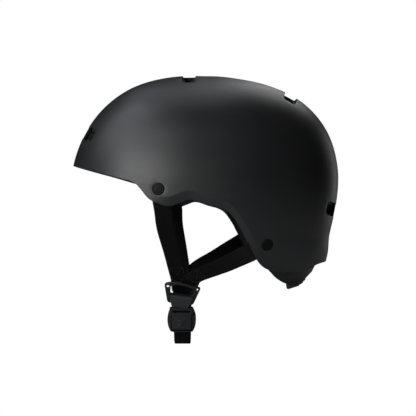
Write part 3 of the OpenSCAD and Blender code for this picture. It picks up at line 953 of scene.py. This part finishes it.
def stitches(name, path, side, out, along_path, runs, lift=WEB_T / 2):
    """Short thread dashes on a ribbon: each run goes from (u, s) to (u, s) in millimetres."""
    points, faces = [], []

    def spot(u, s):
        middle, sd, od = (np.array([np.interp(s, along_path, v[:, k]) for k in range(3)])
                          for v in (path, side, out))
        return middle + sd * u, od

    for (u0, s0), (u1, s1) in runs:
        length = math.hypot(u1 - u0, s1 - s0)
        count = max(1, int(length / 2.6))
        for k in range(count):
            t0, t1 = (k + 0.12) / count, (k + 0.88) / count
            a, od = spot(u0 + (u1 - u0) * t0, s0 + (s1 - s0) * t0)
            b, _ = spot(u0 + (u1 - u0) * t1, s0 + (s1 - s0) * t1)
            w = unit(np.cross(od, unit(b - a)))
            first = len(points)
            for t in np.linspace(0, 1, 6):
                c = a + (b - a) * t + od * (lift - 0.12 + 0.3 * math.sin(math.pi * t))
                size = 0.28 * (0.55 + 0.45 * math.sin(math.pi * t))
                for q in range(8):
                    g = 2 * math.pi * q / 8
                    points.append(c + w * size * math.cos(g) + od * size * math.sin(g))
            dash = tube(6, 8) + [tuple(range(8)), tuple(range(40, 48))]
            faces += [tuple(first + i for i in f) for f in dash]
    obj = new_object(name, points, faces)
    store_weave(obj, points)
    return obj


# Routes of the left straps, from the shell to the divider, and the way their faces look
FRONT_ROUTE = [(-42, -98.2, 0), (-40.3, -81, -21), (-34, -56, -52), (-28.2, -32.9, -84.7)]
REAR_ROUTE = [(41.9, -88, -41.4), (8, -63, -60), (-13, -46.15, -70.6), (-24.5, -36.75, -82.7)]
FRONT_FACE = [(-0.1, -1, 0), (0, -0.85, -0.55), (0, -0.81, -0.59), (0, -0.81, -0.59)]
REAR_FACE = [(-0.2, -1, 0), (0, -0.9, -0.45), (0, -0.81, -0.59), (0, -0.81, -0.59)]
BEHIND_WINDOW = (-29.2, -27.4, -92.6)   # where the front strap ends, seen through the divider
BEHIND_LENGTH = 10
SEAM_LONG, SEAM_SHORT = 30, 13          # the sewn patch, from a strap's end at the divider


def make_strap(kind, route, faces, cap):
    """Left strap from its screw inside the shell, over the bend, to the divider; and its twin."""
    t, u = cap
    out = np.array(skin_frame(t, u).col[2][:3])
    held = at(t, u, reach(t, u)) - out * (SHELL_T + 1.3 + WEB_T / 2)
    edge = np.array(route[0], float)
    away = unit(held - edge)
    level = unit(away - out * (away @ out))
    down = unit(np.array(route[1], float) - edge)
    full = [held + level * 8 - out * 0.5, held, edge + away * 4, edge + down * 4, *route[1:]]
    looks = [tuple(out)] * 3 + [*faces]
    if kind == "front":
        full.append(np.array(BEHIND_WINDOW))
        looks.append(faces[-1])
    strap, *track = ribbon(f"{kind}_webbing_left", full, looks, sag=0.5)
    total = track[-1][-1]
    half = WEB_W / 2 - 2.2
    if kind == "front":
        total -= BEHIND_LENGTH
    s0, s1 = total - SEAM_LONG, total - SEAM_SHORT
    rows = [((-half, s0), (half, s0)), ((-half, s1), (half, s1)),
            ((-half, s0), (half, s1)), ((half, s0), (-half, s1)),
            ((-half, s0), (-half, s1)), ((half, s0), (half, s1))]
    thread = stitches(f"{kind}_stitch_left", *track, rows)
    for sign, mark in ((1, "left"), (-1, "right")):
        piece = strap if sign > 0 else mirrored(strap, f"{kind}_webbing_right")
        sewn = thread if sign > 0 else mirrored(thread, f"{kind}_stitch_right")
        finish_piece(piece, WEB, None,
                     (f"{kind}_strap_{mark}", f"{kind}_strap_end_{mark}"))
        finish_piece(sewn, THREAD, f"{mark}_harness")
        start, end = (edge + away * 3) * MM, (edge + down * 3) * MM
        start[1] *= sign
        end[1] *= sign
        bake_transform(piece)


make_strap("front", FRONT_ROUTE, FRONT_FACE, CAPS[0])
make_strap("rear", REAR_ROUTE, REAR_FACE, CAPS[1])


# ---------- strap dividers and levers ----------

def turned(where, tilt, turn=0):
    return (Matrix.Translation(where) @ Matrix.Rotation(math.radians(90 + tilt), 4, "X")
            @ Matrix.Rotation(math.radians(-turn), 4, "Z"))


DIVIDER = turned((-26.1, -41.4, -79.4), 25, 8)
PLATE_T = 2.6
LEVER_Y, LEVER_Z, LEVER_HALF, EYE_W = -13.5, 3.1, 11, 1.6


def cut(obj, cutter):
    boolean = obj.modifiers.new("cut", "BOOLEAN")
    boolean.operation = "DIFFERENCE"
    boolean.solver = "EXACT"
    boolean.object = cutter
    apply_all(obj)
    bpy.data.objects.remove(cutter)


def block(name, low, high):
    points = [(x, y, z) for x in (low[0], high[0]) for y in (low[1], high[1])
              for z in (low[2], high[2])]
    faces = [(0, 1, 3, 2), (4, 6, 7, 5), (0, 4, 5, 1), (2, 3, 7, 6), (0, 2, 6, 4), (1, 5, 7, 3)]
    return new_object(name, points, faces, smooth=False)


def make_lever(name):
    """Cam lever: round barrel and tapered flap in one skin, lofted across."""
    tip = LEVER_Y - 12.5
    outline = [(LEVER_Y + 2 * math.cos(math.radians(a)), LEVER_Z + 2 * math.sin(math.radians(a)))
               for a in range(92, -196, -12)]
    lower = [(LEVER_Y - 4, LEVER_Z + 0.0), (LEVER_Y - 8, LEVER_Z), (tip + 1, LEVER_Z + 0.05),
             (tip + 0.25, LEVER_Z + 0.35), (tip, LEVER_Z + 1.0), (tip + 0.25, LEVER_Z + 1.65),
             (tip + 1, LEVER_Z + 2.0), (LEVER_Y - 8, LEVER_Z + 2.15), (LEVER_Y - 4, LEVER_Z + 2.15)]
    outline = [q for q in outline if not (q[0] < LEVER_Y - 1.2 and q[1] > LEVER_Z - 0.2)] + lower
    n = len(outline)
    cols = 24
    points = []
    for i in range(cols + 1):
        s = 2 * i / cols - 1
        for y, z in outline:
            half = LEVER_HALF - 1.8 * min(1, max(0, (LEVER_Y - 1 - y) / 11.5))
            # Corners of the flap's tip are rounded in plan
            corner = max(0, abs(s) - 0.72) / 0.28
            pull = 3.0 * (1 - math.sqrt(max(0, 1 - corner**2))) * step(LEVER_Y - 7, tip, y)
            dish = -0.35 * (1 - s * s) * step(LEVER_Y - 3, LEVER_Y - 6, y) * (z > LEVER_Z + 1)
            points.append((s * half, y + pull, z + dish))
    faces = tube(cols + 1, n) + [tuple(range(n)), tuple(range(cols * n, cols * n + n))]
    lever = new_object(name, points, faces)
    soften_edges(lever, 0.35, 3, 50)
    return placed(lever, DIVIDER)


def arch(x):
    """Height of the divider's arched top edge."""
    if x < -4:
        return 3.9 * (1 - ((x + 4) / 15) ** 2)
    return 3.9 * (1 - (x + 4) / 22) ** 1.2


def make_dividers():
    top = [(x, arch(x)) for x in np.linspace(-17.6, 17.6, 31)]
    corner = [(18.5, -0.8), (18.5, -2.6), (17.9, -4.8), (14.4, -19), (13.5, -21.3), (11.4, -22.5)]
    outline = top + corner + [(-x, y) for x, y in corner[::-1]]
    window = rounded([(-12.4, -1.8), (-6, 0.6), (2, 0.2), (12.4, -2.8), (11.6, -10.8),
                      (-11.6, -10.8)], 1.6)
    body = plate("divider_plate", outline, PLATE_T,
                 (window, circle(-15, -2.9, 3.2), circle(15, -2.9, 3.2)), 0.7)
    groove = bar("groove", LEVER_HALF + 0.4, 2.5, LEVER_Y, LEVER_Z)
    cut(body, groove)
    parts = [body]
    for s in (-1, 1):
        x = s * (LEVER_HALF + 0.3 + EYE_W / 2)
        eye = [(LEVER_Y - 2.1, PLATE_T - 0.4)] + [
            (LEVER_Y - 2.1 * math.cos(math.radians(a)), LEVER_Z + 2.1 * math.sin(math.radians(a)))
            for a in range(0, 181, 12)] + [(LEVER_Y + 2.1, PLATE_T - 0.4)]
        n = len(eye)
        points = [(x + e * EYE_W / 2, y, z) for e in (-1, 1) for y, z in eye]
        faces = [tuple(range(n)), tuple(range(n, 2 * n)), *tube(2, n)]
        ear = new_object(f"eye_{s}", points, faces)
        hole = bar("pin_hole", 20, 1.0, LEVER_Y, LEVER_Z)
        cut(ear, hole)
        soften_edges(ear, 0.3, 2, 40)
        parts.append(ear)
    divider = placed(joined("divider_frame_left", parts), DIVIDER)
    lever = make_lever("lever_flap_left")
    for mark in ("left", "right"):
        frame_piece = divider if mark == "left" else mirrored(divider, "divider_frame_right")
        flap = lever if mark == "left" else mirrored(lever, "lever_flap_right")
        finish_piece(frame_piece, BUCKLE, f"{mark}_harness", (f"divider_{mark}",))
        finish_piece(flap, LEVER, f"{mark}_lever", (f"cam_lever_{mark}",))


make_dividers()


# ---------- buckle and chin strap ----------

BUCKLE_AT = turned((-28, -25.5, -119), 10)
TONGUE_HALF = 10.2
CHIN_R = 18.5


def make_base():
    """Barrel-sided base with the tongue's seat, the chin strap's slot and a magnet pocket."""
    side = [(15.2 - 9 * (1 - math.cos(math.radians(a))),
             13.2 * math.sin(math.radians(a)) / math.sin(math.radians(55)))
            for a in range(-55, 56, 5)]
    outline = side + [(-x, y) for x, y in side[::-1]]
    base = plate("buckle_base_body", outline, 6.9,
                 (rounded([(-9.2, -12), (9.2, -12), (9.2, -9.6), (-9.2, -9.6)], 0.8),), 1.2,
                 lift=-5.6)
    seat = TONGUE_HALF + 1
    cut(base, block("seat_cut", (-seat, -11.4, -0.2), (seat, 40, 20)))
    cut(base, block("top_cut", (-30, 6, -0.2), (30, 40, 20)))
    cut(base, placed(lathe("magnet_cut", [(0, -6.4), (6.1, -6.4), (6.1, -1.6), (0, -1.6)]),
                     Matrix.Translation((0, -2, 0))))
    soften_edges(base, 0.25, 2, 50)
    placed(base, BUCKLE_AT)
    finish_piece(base, BUCKLE, "right_harness", ("buckle_base",))


def make_tongue():
    """Plate that lies in the seat, wider above it round the slot of its webbing."""
    hw = TONGUE_HALF
    outline = [(-12.6, 14.6), (12.6, 14.6), (11.6, 6.4), (hw, 5.4), (hw, -9.5), (-hw, -9.5),
               (-hw, 5.4), (-11.6, 6.4)]
    tongue = plate("tongue_body", rounded(outline, 0.5),
                   3.4, (rounded([(-9.4, 9), (9.4, 9), (9.4, 11.6), (-9.4, 11.6)], 0.7),), 0.4,
                   lift=0.2)
    cut(tongue, placed(lathe("pocket_cut", [(0, -1), (5.1, -1), (5.1, 2.4), (0, 2.4)]),
                       Matrix.Translation((0, -1.5, 0))))
    parts = [tongue]
    # Finger grip: low ribs across the plate
    for k in range(5):
        parts.append(bar(f"rib_{k}", 4.2, 0.45, -5.6 + 1.6 * k, 3.5, 16))
    tongue = joined("buckle_tongue_body", parts)
    placed(tongue, BUCKLE_AT)
    finish_piece(tongue, BUCKLE, "left_harness", ("buckle_tongue",))


def make_buckle_webbing():
    """Short strap above the tongue, and the chin strap's bend under the chin."""
    low, top = Vector((-27.5, -31.3, -96)), Vector((-27.8, -28.9, -103.6))
    face = (0, -0.93, -0.36)
    strap, *_ = ribbon("buckle_webbing", [low + (low - top) * 0.6, low, top,
                                          BUCKLE_AT @ Vector((0, 9.9, 1.4))],
                       [face, face, face, (0, -0.9, -0.5)])
    finish_piece(strap, WEB, "left_harness", ("buckle_strap",))

    bend = [math.radians(a) for a in np.arange(186, 360.1, 14.5)]
    route = [(-28, CHIN_R * math.cos(a), -130.8 + CHIN_R * math.sin(a)) for a in bend]
    faces = [(0, math.cos(a), math.sin(a)) for a in bend]
    route += [(-27.8, 22.5, -114), (-27.5, 28, -98)]
    faces += [(0, 0.93, -0.36)] * 2
    slot_in = BUCKLE_AT @ Vector((0, -10.9, -1.4))
    slot_out = BUCKLE_AT @ Vector((0, -12.2, -6.9))
    chin, *_ = ribbon("chin_webbing", [slot_in, slot_out, *route],
                      [(0, -0.4, -1), (0, -0.6, -0.8), *faces])
    finish_piece(chin, WEB, "right_harness", ("chin_strap",))


make_base()
make_tongue()
make_buckle_webbing()


# ---------- strap caps and metal fasteners ----------

def make_caps():
    """Domed covers of the strap screws, and the floor of each seat in the shell behind them."""
    r = CAP_D / 2
    profile = [(0, 0.62), (r * 0.35, 0.6), (r * 0.62, 0.55), (r * 0.72, 0.42), (r * 0.78, 0.42),
               (r * 0.84, 0.5), (r * 0.93, 0.42), (r * 0.985, 0.2), (r, -0.1), (r, -1.0),
               (r * 0.96, -1.2), (0, -1.2)]
    ring = [(r + 0.5, -1.25), (r + 0.5, -1.9), (2.4, -1.9), (2.4, -1.25), (r + 0.5, -1.25)]

    def at_caps(kind, section):
        return [placed(lathe(f"{kind}_{k}", section, 56), skin_frame(t, u))
                for k, (t, u) in enumerate(CAPS)]

    caps = joined("strap_cap_discs", at_caps("cap", profile))
    finish_piece(caps, CAP, "helmet", ("strap_caps",))
    seats = joined("strap_cap_seats", at_caps("seat", ring))
    finish_piece(seats, SHELL, "helmet")


make_caps()
for node in ("strap_screws", "strap_washers", "lever_pin_left", "lever_pin_right",
             "tongue_magnet", "base_magnet"):
    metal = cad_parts[node]
    metal.data.materials.clear()
    metal.data.materials.append(STEEL)


# ---------- room: white floor and sky, soft lamps ----------

def seen_white(tree, other, kind, output):
    """White to the camera, through a node of a kind, and another shader to everything else."""
    path = add_node(tree, "LightPath")
    seen = add_node(tree, kind, Color=(1, 1, 1, 1), Strength=1.0)
    mix = add_node(tree, "MixShader")
    tree.links.new(path.outputs["Is Camera Ray"], mix.inputs[0])
    tree.links.new(other, mix.inputs[1])
    tree.links.new(seen.outputs[0], mix.inputs[2])
    tree.links.new(mix.outputs[0], add_node(tree, output).inputs[0])


def make_room():
    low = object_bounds()[0][2]
    bpy.ops.mesh.primitive_plane_add(size=8, location=(0, 0, low - 0.0005))
    floor = bpy.context.object
    floor.name = "floor"
    material = bpy.data.materials.new("floor_white")
    material.use_nodes = True
    tree = material.node_tree
    tree.nodes.clear()
    diffuse = add_node(tree, "BsdfDiffuse", Color=(0.5, 0.5, 0.5, 1))
    seen_white(tree, diffuse.outputs[0], "Emission", "OutputMaterial")
    floor.data.materials.append(material)
    world = bpy.data.worlds.new("white")
    bpy.context.scene.world = world
    world.use_nodes = True
    tree = world.node_tree
    tree.nodes.clear()
    glow = add_node(tree, "Background", Color=(0.9, 0.94, 1, 1), Strength=0.004)
    seen_white(tree, glow.outputs[0], "Background", "OutputWorld")


def lamp(name, toward, away, size, power, colour=(1, 1, 1)):
    """Soft lamp seen from the helmet's centre in a direction, looking back at it."""
    data = bpy.data.lights.new(name, "AREA")
    data.shape = "RECTANGLE"
    data.size, data.size_y = size
    data.energy = power
    data.color = colour
    obj = linked(name, data)
    d = Vector(toward).normalized()
    obj.location = d * away
    obj.rotation_euler = d.to_track_quat("Z", "Y").to_euler()


make_room()
lamp("key", (-0.6, -0.76, 0.25), 1.3, (0.8, 0.8), 9.5)
lamp("top", (-0.664, -0.242, 0.707), 1.3, (0.8, 0.8), 4.0, (0.88, 0.93, 1))
lamp("overhead", (-0.25, 0.1, 0.96), 1.3, (1.0, 1.0), 2.2, (0.88, 0.93, 1))
lamp("back", (0.35, 0.5, 0.79), 1.3, (0.8, 0.8), 3)
lamp("rim", (0.78, 0.6, 0.1), 1.1, (0.3, 0.8), 0.6)
bpy.context.scene.view_settings.view_transform = "Standard"
